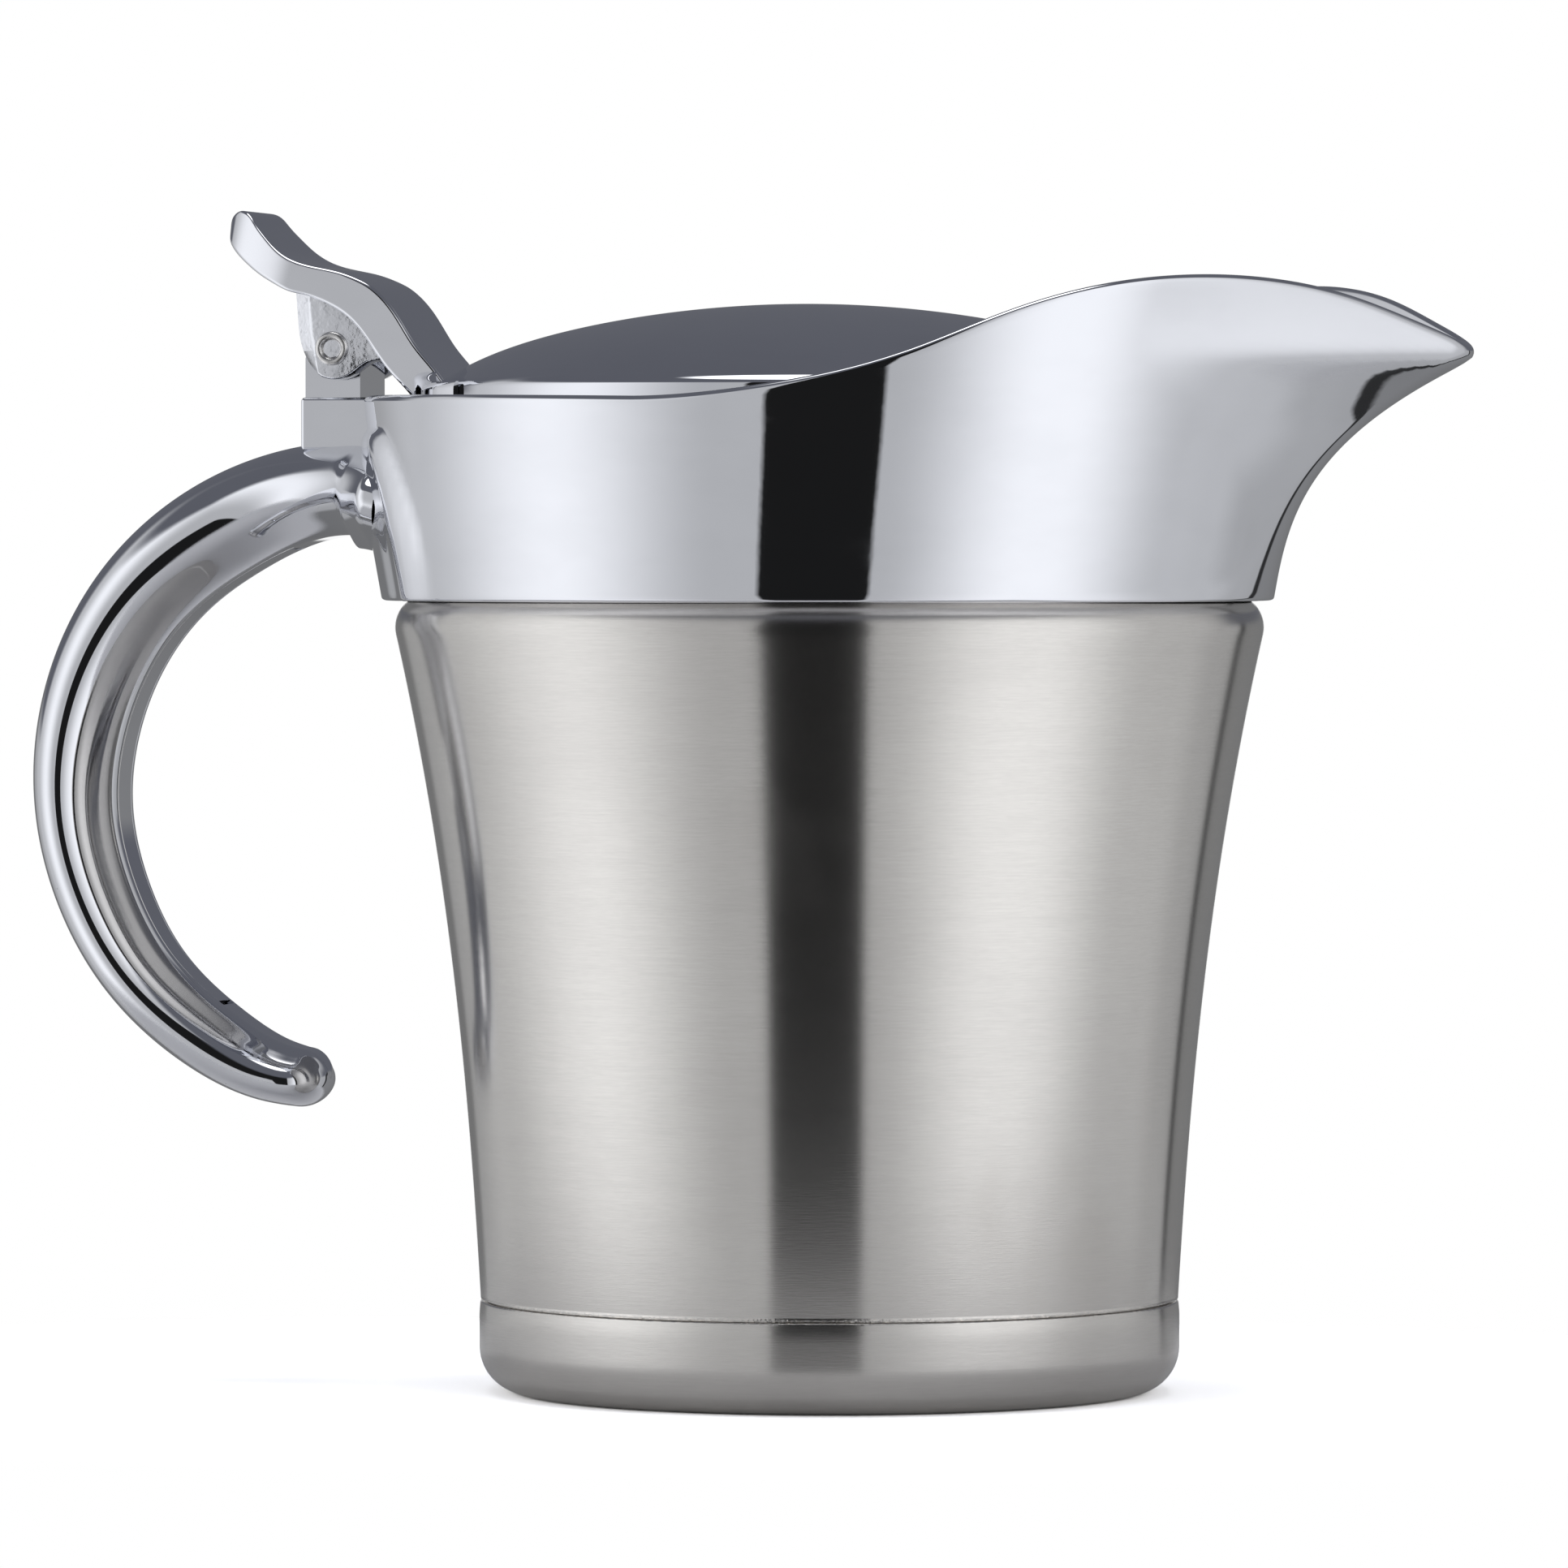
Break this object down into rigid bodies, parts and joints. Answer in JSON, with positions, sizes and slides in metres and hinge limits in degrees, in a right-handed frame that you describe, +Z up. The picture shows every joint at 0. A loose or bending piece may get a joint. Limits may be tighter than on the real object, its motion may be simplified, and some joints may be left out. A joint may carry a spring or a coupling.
{
  "type": "insulated sauce jug",
  "caption": "Double-walled steel sauce jug with a pouring collar, hook handle and thumb-operated hinged lid.",
  "frame": {"origin": "centre of the flat underside of the base, on the body's axis", "axes": "+Z up along the body's axis, +X towards the spout, -X towards the handle and the hinge"},
  "size_m": [0.1607, 0.1044, 0.129],
  "materials": {
    "brushed_body": "brushed around the axis",
    "satin_liner": "satin",
    "chrome_plate": "chrome-plated plastic, mirror",
    "lid_chrome": "mirror",
    "screw_steel": "turned",
    "inner_plastic": "fine matt",
    "seal_rubber": "translucent silicone",
    "foam": "expanded foam"
  },
  "bodies": {
    "jug": {"outer_shell": "brushed_body", "base_cup": "brushed_body", "inner_vessel": "satin_liner", "neck_seal": "seal_rubber", "clamp_ring": "inner_plastic", "collar": "chrome_plate", "handle_shell": "chrome_plate", "handle_cover": "chrome_plate", "handle_screws": "screw_steel", "hinge_post": "chrome_plate", "post_screws": "screw_steel"},
    "lid": {"thumb_lever": "chrome_plate", "hinge_pin": "screw_steel", "lever_screws": "screw_steel", "lid_dome": "lid_chrome", "lid_liner": "inner_plastic", "lid_seal": "seal_rubber", "lid_foam": "foam"}
  },
  "joints": [
    {"name": "lid_hinge", "type": "hinge", "parent": "jug", "child": "lid", "pos_m": [-0.0538, 0, 0.11379], "axis": [0, -1, 0], "range_deg": [0, 85]}
  ]
}
